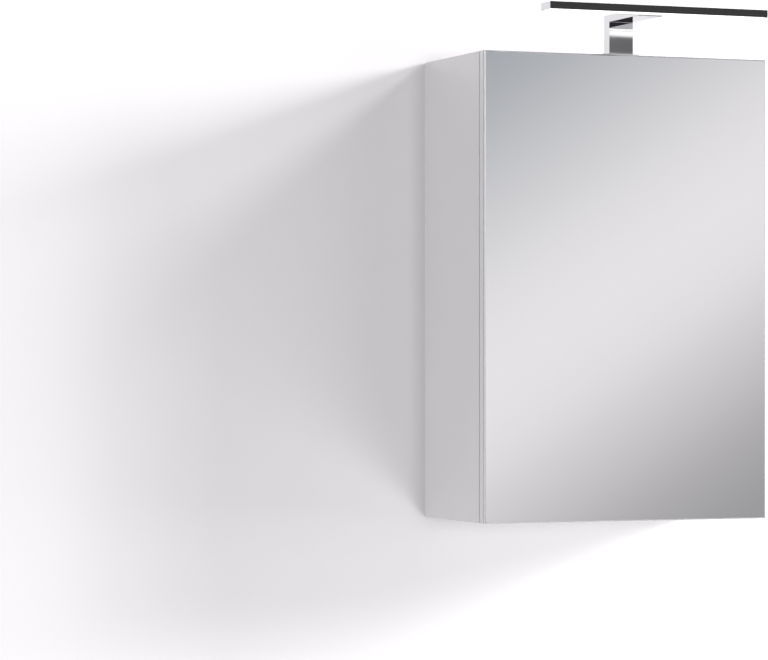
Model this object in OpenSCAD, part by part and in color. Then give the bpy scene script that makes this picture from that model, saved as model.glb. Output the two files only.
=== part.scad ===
// Lighted mirror cabinet for a bathroom wall, in millimetres.
// The origin is the bottom centre of the back, on the wall. X runs to the right, -Y out of the wall, Z up.

/* [Cabinet] */
// Width of the cabinet and of its door
cabinet_w = 400; // [380:5:600]
// Height of the cabinet and of its door
cabinet_h = 600; // [570:5:800]
// Depth from the wall to the face of the mirror
cabinet_d = 200; // [190:5:260]
// Thickness of the side, top and bottom boards
board_t = 16; // [15:0.5:19]
// Thickness of the back panel
back_t = 3; // [2.5:0.5:5]
// Space between the wall and the back panel
back_recess = 18; // [15:1:24]
// Depth of the groove that holds the back panel
groove_d = 6; // [4:0.5:8]

/* [Door] */
// Thickness of the door's board
door_t = 12; // [12:0.5:19]
// Thickness of the mirror glass
mirror_t = 4; // [3:0.5:6]
// Width of the ground arris round the mirror's face
mirror_arris = 1; // [0.5:0.1:2]
// Thickness of the mounting tape behind the mirror
tape_t = 0.8; // [0.5:0.1:1.5]
// Width of a strip of mounting tape
tape_w = 25; // [15:1:40]
// Distance of the tape from the door's edges
tape_inset = 20; // [15:1:40]
// Gap between the door's board and the cabinet's front edges
door_gap = 2; // [1.9:0.1:3]
// Radius of the door board's back edge on the hinge side
hinge_edge_r = 2; // [1.8:0.1:2.5]
// Radius of the door board's back edge on the free side
free_edge_r = 1; // [0.5:0.1:2]
// Thickness of a rubber bumper
bumper_t = 1.7; // [1.2:0.1:1.8]
// Radius of a rubber bumper
bumper_r = 4; // [3:0.5:6]

/* [Hinges] */
// Distance from the door's top or bottom edge to a hinge's centre
hinge_end = 90; // [70:1:120]
// Outer radius of the hinge cup
cup_r = 17.5; // [17.5:0.1:18]
// Depth of the cup in the door
cup_depth = 10.6; // [10.5:0.1:10.9]
// Wall thickness of the cup
cup_wall = 0.6; // [0.5:0.1:0.7]
// Distance from the door's edge to the cup
cup_edge = 3; // [2.5:0.1:3.2]
// Thickness of the cup's flange
flange_t = 1; // [0.6:0.1:1]
// Distance between the two screws of a cup
cup_screw_span = 45; // [42:1:48]
// Distance of the cup's screws behind the cup's centre
cup_screw_back = 9.5; // [6:0.5:11]
// Radius of the hinge pin
pin_r = 1; // [0.8:0.1:1.2]
// Radial running clearance of the hinge pin
pin_clear = 0.05; // [0.03:0.01:0.08]
// Outer radius of the arm's rolled eye
eye_r = 2.1; // [2:0.1:2.3]
// Gap between the eye and the inside of the cup
eye_gap = 0.3; // [0.2:0.1:0.4]
// Thickness of the hinge arm's steel
arm_t = 1.6; // [1.2:0.1:1.8]
// Width of the arm where it enters the cup
arm_w = 9; // [7:0.5:10]
// Length of the arm behind the cabinet's front edge
arm_l = 60; // [56:1:75]
// Height of the mounting plate on the side board
plate_h = 5; // [4.5:0.5:8]
// Width of the mounting plate's spine
spine_w = 10; // [9:0.5:12]
// Distance of the plate's screws behind the cabinet's front edge
plate_screw_y = 37; // [35:1:40]
// Distance between the two screws of a mounting plate
plate_screw_span = 32; // [28:1:36]

/* [Shelves] */
// Thickness of a glass shelf
shelf_t = 5; // [4:0.5:8]
// Underside of the lower shelf
lower_shelf_z = 200; // [160:1:250]
// Underside of the upper shelf
upper_shelf_z = 385; // [350:1:440]
// Gap between a shelf and the side boards
shelf_gap = 1; // [0.5:0.1:2]
// Distance from the cabinet's front edges to a shelf's front edge
shelf_setback = 14; // [8:1:40]
// Radius of a shelf pin
shelf_pin_r = 2.5; // [2:0.1:3]
// Distance between the adjusting holes
hole_pitch = 32; // [25:1:40]

/* [Lamp] */
// Length of the light bar
bar_l = 304; // [250:1:370]
// Depth of the light bar from front to back
bar_d = 29; // [26:0.5:40]
// Height of the light bar
bar_h = 9.2; // [8.8:0.1:14]
// Distance of the light bar's front ahead of the mirror's face
bar_reach = 96; // [75:1:140]
// Height of the light bar's underside above the cabinet
bar_rise = 45; // [35:1:90]
// Wall thickness of the light bar's housing
bar_wall = 1.2; // [1:0.1:1.6]
// Thickness of the diffuser
diffuser_t = 1.5; // [1:0.1:2]
// Thickness of an end cap
cap_t = 1.5; // [1:0.1:3]
// Width of the bracket's post and arm
post_w = 34; // [30:1:45]
// Depth of the bracket's post
post_d = 16; // [15:0.5:24]
// Height of the bracket's arm
bracket_arm_h = 9; // [8:0.1:12]
// Drop of the arm's underside below the bar's underside
bracket_drop = 1; // [0.5:0.1:1.5]
// Radius of the bracket's corner above the post
bracket_r = 3; // [1:0.5:5]
// Width of the base plate under the post
base_w = 51; // [44:1:60]
// Thickness of the base plate
base_t = 3; // [2:0.5:5]
// Number of LED chips
chip_count = 30; // [12:1:34]
// Radius of the lamp's lead
lead_r = 2; // [1.5:0.1:2.2]

/* [Switch and socket box] */
// Width of the box
box_w = 120; // [116:1:140]
// Height of the box
box_h = 48; // [48:1:60]
// Depth of the box behind its front plate
box_d = 63; // [60:1:70]
// Distance from the cabinet's front edges to the box's face
box_setback = 5.2; // [5:0.1:12]
// Wall thickness of the box
box_wall = 2; // [1.5:0.1:2.5]
// Thickness of the box's front plate
box_plate_t = 3; // [2:0.1:3.5]
// Inner radius of the socket's well
well_r = 19.5; // [19:0.1:19.7]
// Depth of the socket's well
well_depth = 15; // [14:0.5:18]
// Wall thickness of the socket's well
well_wall = 2; // [1.5:0.1:2.2]
// Distance between the socket's two contacts
contact_span = 19; // [18:0.5:20]
// Width of the rocker
rocker_w = 18.4; // [14:0.1:20]
// Height of the rocker
rocker_h = 22.4; // [18:0.1:24]
// Tilt of the rocker to each side
rocker_tilt = 8; // [5:1:9]
// Radius of the rocker's axle
axle_r = 1.5; // [1:0.1:1.8]

/* [Wall hangers] */
// Gap between a wall plate and the side board next to it
wall_plate_gap = 1; // [0.5:0.5:3]
// Distance between the two screws of one wall plate
wall_screw_pitch = 20; // [16:1:24]
// Radius of the holes for the wall screws
wall_hole_r = 2.6; // [2:0.1:3.2]
// Width of a wall plate
wall_plate_w = 26; // [22:1:32]
// Thickness of the wall plate's steel
wall_plate_t = 1.5; // [1.2:0.1:2]
// Thickness of the hook's steel
hook_t = 3; // [2.5:0.1:3.5]
// Width of the hook
hook_w = 10; // [8:0.5:12]

/* [Hidden] */
$fn = 48;

// Length by which a cut runs past the face that it opens
cut = 1;
// Extra depth of a hole past the end of what it holds
hole_spare = 0.5;

half_w = cabinet_w / 2;
carcase_d = cabinet_d - mirror_t - tape_t - door_t - door_gap;
front_y = -carcase_d;
door_back_y = front_y - door_gap;
door_front_y = door_back_y - door_t;
mirror_back_y = door_front_y - tape_t;
face_y = -cabinet_d;
inner_x = half_w - board_t;
top_z = cabinet_h - board_t;
back_y = -back_recess - back_t;
back_edge_gap = 0.5;

// Dowels and cam fittings at the four joints of the boards
dowel_r = 4;
dowel_in_side = 11;
dowel_in_end = 19;
dowel_ys = [back_y - 19, front_y + 29];
cam_r = 7.5;
cam_depth = 12.5;
cam_cap_t = 1;
cam_inset = 34;
cam_from_back = 51;
cam_from_front = 61;
cam_ys = [back_y - cam_from_back, front_y + cam_from_front];
cam_bolt_r = 2.5;
cam_bolt_in_side = 11;
cam_head_r = 3;
cam_head_l = 3;
cam_play = 0.05;
joint_zs = [board_t / 2, cabinet_h - board_t / 2];

// Shelves and their pins
shelf_front_y = front_y + shelf_setback;
shelf_back_y = back_y - shelf_gap;
shelf_pin_ys = [back_y - 30, front_y + 40];
shelf_pin_in = 8;
shelf_pin_out = 7;
spare_holes = [-1, 0, 1];

// Door bumpers, in the middle of the left side board's front edge
bumper_x = -half_w + board_t / 2;
bumper_zs = [30, cabinet_h / 2, cabinet_h - 30];

// Hinges, in a frame of their own: x from the side board's outer face inwards, y from the cabinet's
// front edge towards the door, z from the hinge's centre
hinge_zs = [hinge_end, cabinet_h - hinge_end];
cup_x = cup_edge + cup_r;
cup_inner_r = cup_r - cup_wall;
pin_x = cup_x - sqrt(pow(cup_inner_r, 2) - pow(arm_w / 2, 2)) + eye_r + eye_gap;
cup_floor_y = door_gap + cup_depth - cup_wall;
pin_y = cup_floor_y - eye_gap - eye_r;
pin_half = 8.5;
lug_gap = 0.5;
lug_w = 3;
cup_screw_x = cup_x + cup_screw_back;
cup_screw_r = 1.75;
cup_screw_l = 9;
cup_head_r = 3.5;
cup_ear_r = 7;
lug_l = 10;
arm_x = board_t + plate_h;
arm_side_play = 0.3;
arm_flange_z = spine_w / 2 + arm_side_play;
arm_outer_w = 2 * (arm_flange_z + arm_t);
channel_y = -14;
wing_t = 2;
wing_l = 10;
wing_w = plate_screw_span + 10;
plate_screw_r = 2.5;
plate_screw_in = 10;
screw_head_t = 1.5;
arm_screw_r = 2;
arm_screw_end = board_t + 1;
plate_head_r = 3.75;
arm_head_r = 3.2;
arm_screw_ys = [-22, -52];

// Lamp
base_z = cabinet_h;
post_z = base_z + base_t;
bar_z = cabinet_h + bar_rise;
arm_z = bar_z - bracket_drop;
arm_top_z = arm_z + bracket_arm_h;
bar_front_y = face_y - bar_reach;
bar_back_y = bar_front_y + bar_d;
post_front_y = front_y + 0.4;
post_back_y = post_front_y + post_d;
post_mid_y = (post_front_y + post_back_y) / 2;
base_back_y = post_back_y + (base_w - post_w) / 2;
lead_bore_r = lead_r + 1.5;
lead_y = post_back_y - lead_bore_r - 1.3;
lead_z = bar_z + 4;
lead_top_bend = 5;
lead_low_bend = 12;
lead_low_z = top_z - lead_low_bend;
channel_half_h = lead_r + 0.5;
foot_screw_x = 11;
foot_screw_r = 2;
foot_screw_in = 12;
foot_screw_head_r = 4;
foot_screw_head_t = 2.5;
bar_screw_x = 11;
bar_screw_r = 1.5;
bar_screw_in = 8;
bar_screw_head_r = 2.3;
bar_screw_head_t = 1.6;
housing_half = bar_l / 2 - cap_t;
led_board_w = 13;
led_board_t = 1;
led_board_z = bar_z + bar_h - bar_wall - led_board_t;
led_board_y = bar_front_y + bar_wall + 6.8;
led_board_half = housing_half - 2.5;
chip_w = 3.5;
chip_d = 2.8;
chip_t = 0.7;
chip_y = led_board_y + 3;
chip_end = 4;
connector_play = 0.5;
connector_front_y = chip_y + 4;
connector_back_y = bar_back_y - 6;
connector_half = 4;

// Switch and socket box, in the top left corner
box_left = -inner_x;
box_right = box_left + box_w;
box_bottom = top_z - box_h;
box_mid_z = top_z - box_h / 2;
box_front = front_y + box_setback;
tray_front = box_front + box_plate_t;
box_back = tray_front + box_d;
socket_x = box_left + 32;
switch_x = box_right - 34;
boss_x = (box_left + box_right) / 2;
boss_half = 4;
boss_half_h = 3.5;
boss_l = 12;
boss_zs = [box_bottom + 5, top_z - 5];
front_screw_r = 1.5;
front_screw_l = 10;
front_screw_head_r = 2.8;
box_screw_r = 1.75;
box_screw_in = 8;
box_screw_head_r = 3.5;
box_screw_xs = [boss_x - 11, boss_x + 24];
box_screw_y = box_back - 20;
well_out_r = well_r + well_wall;
well_floor_t = 2.5;
well_rim = 0.8;
well_rim_t = 1;
sleeve_bore_r = 2.45;
sleeve_r = 3.2;
sleeve_l = 14;
clip_w = 5;
clip_t = 0.8;
clip_in = 2;
pivot_y = box_front + 1;
rocker_play = 0.3;
rocker_front = 3.5;
rocker_dish = 0.9;
rocker_back = 5;
rocker_edge = 1;
axle_play = 0.05;
stub_play = 0.1;
switch_wall = 1;
switch_cavity_w = rocker_w + 2 * rocker_play;
switch_cavity_h = 2 * sqrt(pow(rocker_h / 2, 2) + pow(rocker_front, 2)) + 2 * rocker_play;
switch_depth = 14;
switch_rim = 1.6;
switch_rim_t = 1.5;
tab_w = 4.8;
tab_t = 0.8;
tab_l = 8;
tab_z = 6;
driver_w = 18;
driver_h = 41;
terminal_w = 30;
terminal_d = 18;
terminal_h = 15;
terminal_gap = 2;
terminal_hole_r = 2.5;
terminal_hole_l = 4;
inlet_x = boss_x;
inlet_z = box_mid_z + 5;
inlet_r = 5;
inlet_body_r = 7;
inlet_flange_r = 9;
inlet_lip_t = 2;
gland_r = 3.5;
gland_body_r = 5;
gland_flange_r = 6.5;
lead_gland_r = 3;
lead_gland_flange_r = 5;
clip_x = -32;
clip_half_w = 4;
clip_half_d = 5;

// Wall hangers, the right-hand one; the left-hand one is its mirror image
hanger_x = inner_x - wall_plate_gap - wall_plate_w / 2;
hanger_w = 16;
hanger_front_y = back_y - 45;
hanger_back_y = back_y;
hanger_h = 53;
hanger_top = top_z - 1;
hanger_bottom = hanger_top - hanger_h;
hook_x = inner_x - hanger_w / 2;
hook_z = top_z - 9;
hook_front_y = hanger_front_y + 6;
hook_tip_l = 15;
hook_tip_t = 2.6;
hook_play = 0.2;
lip_y = -5;
lip_h = 17;
wall_step_z = hook_z - lip_h;
wall_plate_h = 37;
wall_screw_mid_z = wall_step_z - wall_plate_h / 2 - 1;
notch_gap = 4;
notch_w = hook_w + notch_gap;
adjuster_r = 3;
adjuster_l = 12;
adjuster_zs = [hanger_bottom + 12, hanger_bottom + 26];
hanger_screw_r = 2;
hanger_screw_in = 10;
hanger_screw_head_r = 3.5;
hanger_screw_head_t = 2;
hanger_head_x = inner_x - hanger_w + 1;
hanger_screw_zs = [hanger_bottom + 10, hanger_bottom + 28];
hanger_screw_y = hanger_back_y - 14;

white = [0.93, 0.93, 0.93];
paint = [0.87, 0.87, 0.88];
steel = [0.72, 0.73, 0.75];
chrome = [0.8, 0.81, 0.83];
brass = [0.78, 0.62, 0.32];

// A block from its lowest corner to its highest
module block(low, high) {
    translate(low) cube(high - low);
}

// Round rods from a point along +X, +Y and +Z
module rod_x(p, l, r) {
    translate(p) rotate([0, 90, 0]) cylinder(h = l, r = r);
}

module rod_y(p, l, r) {
    translate(p) rotate([-90, 0, 0]) cylinder(h = l, r = r);
}

module rod_z(p, l, r) {
    translate(p) cylinder(h = l, r = r);
}

// The children and their mirror image on the left
module both_sides() {
    children();
    mirror([1, 0, 0]) children();
}

// The hinge frame at height z, on the cabinet's right side
module hinge_at(z) {
    translate([half_w, front_y, z]) rotate([0, 0, 180]) children();
}

// What a square corner loses to a radius, with the arc's centre at the origin
module corner_waste(r) {
    difference() {
        square(r + cut);
        circle(r);
    }
}

// Carcase

// The space of the back panel and its grooves, less a gap at the edges
module back_space(gap) {
    x = inner_x + groove_d - gap;
    block([-x, back_y, board_t - groove_d + gap], [x, -back_recess, top_z + groove_d - gap]);
}

module dowel_solids(spare) {
    l = dowel_in_side + dowel_in_end + 2 * spare;
    both_sides() {
        for (z = joint_zs, y = dowel_ys) {
            rod_x([inner_x - dowel_in_end - spare, y, z], l, dowel_r);
        }
    }
}

module dowels() {
    color("burlywood") dowel_solids(0);
}

// Bolt holes: the thread in the side board and the wide bore in the end of the other
module cam_bolt_holes() {
    both_sides() {
        for (z = joint_zs, y = cam_ys) {
            rod_x([inner_x - cut, y, z], cam_bolt_in_side + hole_spare + cut, cam_bolt_r);
            rod_x([inner_x - cam_inset, y, z], cam_inset, cam_head_r + cam_play);
        }
    }
}

module cam_bolts() {
    color(steel) both_sides() {
        for (z = joint_zs, y = cam_ys) {
            rod_x([inner_x - cam_inset, y, z], cam_inset + cam_bolt_in_side, cam_bolt_r);
            rod_x([inner_x - cam_inset, y, z], cam_head_l, cam_head_r);
        }
    }
}

// Discs of one radius at the cams' places, between two depths from the board's outer face
module cam_stack(from, to) {
    both_sides() {
        for (y = cam_ys) {
            rod_z([inner_x - cam_inset, y, from], to - from, cam_r);
            rod_z([inner_x - cam_inset, y, cabinet_h - to], to - from, cam_r);
        }
    }
}

module cam_discs() {
    color(steel) difference() {
        cam_stack(cam_cap_t, cam_depth);
        cam_bolt_holes();
    }
}

module cam_caps() {
    color(white) cam_stack(0, cam_cap_t);
}

module shelf_pin_solids(shelf_z, spare) {
    both_sides() {
        for (y = shelf_pin_ys) {
            l = shelf_pin_in + shelf_pin_out + spare;
            rod_x([inner_x - shelf_pin_out, y, shelf_z - shelf_pin_r], l, shelf_pin_r);
        }
    }
}

module shelf_pin_holes() {
    for (shelf_z = [lower_shelf_z, upper_shelf_z], k = spare_holes) {
        shelf_pin_solids(shelf_z + k * hole_pitch, hole_spare);
    }
}

module hanger_screw_holes() {
    both_sides() {
        for (z = hanger_screw_zs) {
            rod_x([inner_x - cut, hanger_screw_y, z], hanger_screw_in + hole_spare + cut, hanger_screw_r);
        }
    }
}

module plate_screw_holes() {
    for (hz = hinge_zs, s = [-1, 1]) {
        hinge_at(hz) {
            x = board_t - plate_screw_in - hole_spare;
            l = plate_screw_in + hole_spare + cut;
            rod_x([x, -plate_screw_y, s * plate_screw_span / 2], l, plate_screw_r);
        }
    }
}

module side_panel_right() {
    color(paint) difference() {
        block([inner_x, front_y, 0], [half_w, 0, cabinet_h]);
        back_space(0);
        dowel_solids(hole_spare);
        cam_bolt_holes();
        shelf_pin_holes();
        hanger_screw_holes();
        plate_screw_holes();
    }
}

module side_panel_left() {
    color(paint) difference() {
        block([-half_w, front_y, 0], [-inner_x, 0, cabinet_h]);
        back_space(0);
        dowel_solids(hole_spare);
        cam_bolt_holes();
        shelf_pin_holes();
        hanger_screw_holes();
    }
}

// What the top and bottom boards lose to their joints
module end_board_cuts() {
    back_space(0);
    dowel_solids(hole_spare);
    cam_bolt_holes();
    cam_stack(-cut, cam_depth);
}

module bottom_panel() {
    color(paint) difference() {
        block([-inner_x, front_y, 0], [inner_x, 0, board_t]);
        end_board_cuts();
    }
}

module top_panel() {
    color(paint) difference() {
        block([-inner_x, front_y, top_z], [inner_x, 0, cabinet_h]);
        end_board_cuts();
        rod_z([0, lead_y, top_z - cut], board_t + 2 * cut, lead_bore_r);
        for (s = [-1, 1]) {
            rod_z([s * foot_screw_x, post_mid_y, top_z - cut], board_t + 2 * cut, foot_screw_r);
        }
        for (x = box_screw_xs) {
            rod_z([x, box_screw_y, top_z - cut], box_screw_in + hole_spare + cut, box_screw_r);
        }
    }
}

module back_panel() {
    color(white) difference() {
        back_space(back_edge_gap);
        both_sides() {
            x = notch_w / 2;
            block([hook_x - x, back_y - cut, hook_z - notch_gap],
                  [hook_x + x, -back_recess + cut, hook_z + hook_t + notch_gap]);
        }
        rod_y([inlet_x, back_y - cut, inlet_z], back_t + 2 * cut, inlet_body_r);
    }
}

// Shelves

module glass_shelf(z) {
    x = inner_x - shelf_gap;
    color("lightcyan", 0.5) block([-x, shelf_front_y, z], [x, shelf_back_y, z + shelf_t]);
}

module shelf_lower() {
    glass_shelf(lower_shelf_z);
}

module shelf_upper() {
    glass_shelf(upper_shelf_z);
}

module shelf_pins_lower() {
    color(steel) shelf_pin_solids(lower_shelf_z, 0);
}

module shelf_pins_upper() {
    color(steel) shelf_pin_solids(upper_shelf_z, 0);
}

// Door

module door_board() {
    color(white) difference() {
        linear_extrude(height = cabinet_h) difference() {
            translate([-half_w, door_front_y]) square([cabinet_w, door_t]);
            translate([half_w - hinge_edge_r, door_back_y - hinge_edge_r]) corner_waste(hinge_edge_r);
            translate([-half_w + free_edge_r, door_back_y - free_edge_r]) {
                mirror([1, 0]) corner_waste(free_edge_r);
            }
        }
        for (z = hinge_zs) {
            hinge_at(z) {
                rod_y([cup_x, door_gap - cut, 0], cup_depth + cut, cup_r);
                cup_screw_shanks(hole_spare);
            }
        }
    }
}

// A slab whose front face has an arris on all four sides
module mirror_glass() {
    a = mirror_arris;
    color("aliceblue") intersection() {
        linear_extrude(height = cabinet_h) polygon([
            [-half_w, mirror_back_y], [half_w, mirror_back_y], [half_w, face_y + a],
            [half_w - a, face_y], [-half_w + a, face_y], [-half_w, face_y + a]
        ]);
        translate([-half_w, 0, 0]) rotate([90, 0, 90]) linear_extrude(height = cabinet_w) polygon([
            [mirror_back_y, 0], [mirror_back_y, cabinet_h], [face_y + a, cabinet_h],
            [face_y, cabinet_h - a], [face_y, a], [face_y + a, 0]
        ]);
    }
}

module mirror_tape() {
    edge_x = half_w - tape_inset - tape_w / 2;
    color("dimgray") for (x = [-edge_x, 0, edge_x]) {
        block([x - tape_w / 2, mirror_back_y, tape_inset],
              [x + tape_w / 2, door_front_y, cabinet_h - tape_inset]);
    }
}

module door_bumpers() {
    color("whitesmoke") for (z = bumper_zs) {
        rod_y([bumper_x, door_back_y, z], bumper_t, bumper_r);
    }
}

// Hinges

module cup_screw_shanks(spare) {
    for (s = [-1, 1]) {
        l = flange_t + cup_screw_l + spare;
        rod_y([cup_screw_x, door_gap - flange_t, s * cup_screw_span / 2], l, cup_screw_r);
    }
}

module cup_screw_heads() {
    for (s = [-1, 1]) {
        y = door_gap - flange_t - screw_head_t;
        rod_y([cup_screw_x, y, s * cup_screw_span / 2], screw_head_t, cup_head_r);
    }
}

// The pressed cup with its flange, ears and the two lugs that hold the pin
module hinge_cup() {
    ear_half = cup_screw_span / 2;
    color(steel) difference() {
        union() {
            difference() {
                rod_y([cup_x, door_gap - flange_t, 0], flange_t + cup_depth, cup_r);
                rod_y([cup_x, -cut, 0], cup_floor_y + cut, cup_inner_r);
            }
            difference() {
                union() {
                    block([cup_screw_x - cup_ear_r, door_gap - flange_t, -ear_half],
                          [cup_screw_x + cup_ear_r, door_gap, ear_half]);
                    for (s = [-1, 1]) {
                        rod_y([cup_screw_x, door_gap - flange_t, s * ear_half], flange_t, cup_ear_r);
                    }
                }
                rod_y([cup_x, door_gap - flange_t - cut, 0], flange_t + 2 * cut, cup_inner_r);
            }
            intersection() {
                rod_y([cup_x, door_gap, 0], cup_depth, cup_r - cup_wall / 2);
                for (s = [-1, 1]) {
                    z = s * (arm_w / 2 + lug_gap + lug_l / 2);
                    block([cup_edge, pin_y - lug_w, z - lug_l / 2],
                          [pin_x + lug_w, door_gap + cup_depth, z + lug_l / 2]);
                }
            }
        }
        rod_z([pin_x, pin_y, -pin_half], 2 * pin_half, pin_r);
        cup_screw_shanks(0);
    }
}

module hinge_pin() {
    color(steel) rod_z([pin_x, pin_y, -pin_half], 2 * pin_half, pin_r);
}

// The arm: an eye round the pin, a leg along the cup's floor, a leg back out, and a channel on the plate
module hinge_arm() {
    leg_y = pin_y + eye_r;
    color(steel) difference() {
        union() {
            translate([0, 0, -arm_w / 2]) linear_extrude(height = arm_w) {
                translate([pin_x, pin_y]) circle(eye_r);
                translate([pin_x, leg_y - arm_t]) square([arm_x + arm_t - pin_x, arm_t]);
                translate([arm_x, channel_y - cut]) square([arm_t, leg_y - channel_y + cut]);
            }
            difference() {
                block([board_t + wing_t + arm_side_play, -arm_l, -arm_outer_w / 2],
                      [arm_x + arm_t, channel_y, arm_outer_w / 2]);
                block([board_t, -arm_l - cut, -arm_flange_z], [arm_x, channel_y + cut, arm_flange_z]);
            }
        }
        rod_z([pin_x, pin_y, -arm_w], 2 * arm_w, pin_r + pin_clear);
        for (y = arm_screw_ys) {
            rod_x([arm_x - cut, y, 0], arm_t + 2 * cut, arm_screw_r);
        }
    }
}

module hinge_plate() {
    color(steel) difference() {
        union() {
            block([board_t, -arm_l, -spine_w / 2], [arm_x, channel_y, spine_w / 2]);
            block([board_t, -plate_screw_y - wing_l / 2, -wing_w / 2],
                  [board_t + wing_t, -plate_screw_y + wing_l / 2, wing_w / 2]);
        }
        for (s = [-1, 1]) {
            rod_x([board_t - cut, -plate_screw_y, s * plate_screw_span / 2], wing_t + 2 * cut, plate_screw_r);
        }
        for (y = arm_screw_ys) {
            rod_x([arm_screw_end, y, 0], plate_h, arm_screw_r);
        }
    }
}

module hinge_cup_lower() {
    hinge_at(hinge_zs[0]) hinge_cup();
}

module hinge_cup_upper() {
    hinge_at(hinge_zs[1]) hinge_cup();
}

module hinge_pin_lower() {
    hinge_at(hinge_zs[0]) hinge_pin();
}

module hinge_pin_upper() {
    hinge_at(hinge_zs[1]) hinge_pin();
}

module hinge_arm_lower() {
    hinge_at(hinge_zs[0]) hinge_arm();
}

module hinge_arm_upper() {
    hinge_at(hinge_zs[1]) hinge_arm();
}

module hinge_plate_lower() {
    hinge_at(hinge_zs[0]) hinge_plate();
}

module hinge_plate_upper() {
    hinge_at(hinge_zs[1]) hinge_plate();
}

module cup_screws() {
    color(steel) for (z = hinge_zs) {
        hinge_at(z) {
            cup_screw_shanks(0);
            cup_screw_heads();
        }
    }
}

module plate_screws() {
    color(steel) for (hz = hinge_zs, s = [-1, 1]) {
        hinge_at(hz) {
            z = s * plate_screw_span / 2;
            rod_x([board_t - plate_screw_in, -plate_screw_y, z], plate_screw_in + wing_t, plate_screw_r);
            rod_x([board_t + wing_t, -plate_screw_y, z], screw_head_t, plate_head_r);
        }
    }
}

module arm_screws() {
    color(steel) for (z = hinge_zs, y = arm_screw_ys) {
        hinge_at(z) {
            rod_x([arm_screw_end, y, 0], arm_x + arm_t - arm_screw_end, arm_screw_r);
            rod_x([arm_x + arm_t, y, 0], screw_head_t, arm_head_r);
        }
    }
}

// Wall hangers

module hanger_screw_solids() {
    for (z = hanger_screw_zs) {
        l = inner_x + hanger_screw_in - hanger_head_x;
        rod_x([hanger_head_x, hanger_screw_y, z], l, hanger_screw_r);
        rod_x([hanger_head_x, hanger_screw_y, z], hanger_screw_head_t, hanger_screw_head_r);
    }
}

module adjuster_solids() {
    for (z = adjuster_zs) {
        rod_y([hook_x, hanger_front_y, z], adjuster_l, adjuster_r);
    }
}

// The steel bar that leaves the hanger through the back panel and drops its tip behind the wall plate's lip
module hook_solid(play) {
    w = hook_w / 2 + play;
    tip_y = lip_y / 2;
    block([hook_x - w, hook_front_y - play, hook_z - play],
          [hook_x + w, tip_y + hook_tip_t / 2, hook_z + hook_t + play]);
    block([hook_x - w, tip_y - hook_tip_t / 2, hook_z - hook_tip_l],
          [hook_x + w, tip_y + hook_tip_t / 2, hook_z]);
}

module hanger_body() {
    difference() {
        block([inner_x - hanger_w, hanger_front_y, hanger_bottom], [inner_x, hanger_back_y, hanger_top]);
        hook_solid(hook_play);
        adjuster_solids();
        hanger_screw_solids();
        for (z = hanger_screw_zs) {
            l = hanger_head_x - inner_x + hanger_w + 2 * cut;
            rod_x([inner_x - hanger_w - cut, hanger_screw_y, z], l, hanger_screw_head_r);
        }
    }
}

module hanger_right() {
    color(white) hanger_body();
}

module hanger_left() {
    color(white) mirror([1, 0, 0]) hanger_body();
}

module hanger_hook_right() {
    color(steel) hook_solid(0);
}

module hanger_hook_left() {
    color(steel) mirror([1, 0, 0]) hook_solid(0);
}

// A steel plate on the wall whose upper lip stands clear of the wall
module wall_plate() {
    t = wall_plate_t;
    x = wall_plate_w / 2;
    difference() {
        union() {
            block([hanger_x - x, -t, wall_step_z - wall_plate_h], [hanger_x + x, 0, wall_step_z + t]);
            block([hanger_x - x, lip_y - t, wall_step_z], [hanger_x + x, 0, wall_step_z + t]);
            block([hanger_x - x, lip_y - t, wall_step_z], [hanger_x + x, lip_y, hook_z]);
        }
        for (s = [-1, 1]) {
            z = wall_screw_mid_z + s * wall_screw_pitch / 2;
            rod_y([hanger_x, -t - cut, z], t + 2 * cut, wall_hole_r);
        }
    }
}

module wall_plate_right() {
    color(steel) wall_plate();
}

module wall_plate_left() {
    color(steel) mirror([1, 0, 0]) wall_plate();
}

module hanger_adjusters() {
    color(steel) both_sides() adjuster_solids();
}

module hanger_screws() {
    color(steel) both_sides() hanger_screw_solids();
}

// Lamp

module lamp_base_plate() {
    x = base_w / 2;
    color(chrome) difference() {
        block([-x, post_front_y, base_z], [x, base_back_y, post_z]);
        rod_z([0, lead_y, base_z - cut], base_t + 2 * cut, lead_bore_r);
        for (s = [-1, 1]) {
            rod_z([s * foot_screw_x, post_mid_y, base_z - cut], base_t + 2 * cut, foot_screw_r);
        }
    }
}

// The post and the arm in one piece, hollow for the lead
module lamp_bracket() {
    x = post_w / 2;
    color(chrome) difference() {
        union() {
            block([-x, post_front_y, post_z], [x, post_back_y, arm_top_z]);
            block([-x, bar_back_y, arm_z], [x, post_back_y, arm_top_z]);
        }
        translate([-x - cut, post_back_y - bracket_r, arm_top_z - bracket_r]) rotate([90, 0, 90]) {
            linear_extrude(height = post_w + 2 * cut) corner_waste(bracket_r);
        }
        rod_z([0, lead_y, post_z - cut], lead_z + channel_half_h - post_z + cut, lead_bore_r);
        block([-lead_bore_r, bar_back_y - cut, lead_z - channel_half_h],
              [lead_bore_r, lead_y, lead_z + channel_half_h]);
        for (s = [-1, 1]) {
            foot_hole_l = foot_screw_in + hole_spare + cut;
            bar_hole_l = bar_screw_in + hole_spare + cut;
            rod_z([s * foot_screw_x, post_mid_y, post_z - cut], foot_hole_l, foot_screw_r);
            rod_y([s * bar_screw_x, bar_back_y - cut, lead_z], bar_hole_l, bar_screw_r);
        }
    }
}

module foot_screws() {
    color(steel) for (s = [-1, 1]) {
        rod_z([s * foot_screw_x, post_mid_y, top_z], board_t + base_t + foot_screw_in, foot_screw_r);
        head_z = top_z - foot_screw_head_t;
        rod_z([s * foot_screw_x, post_mid_y, head_z], foot_screw_head_t, foot_screw_head_r);
    }
}

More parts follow.
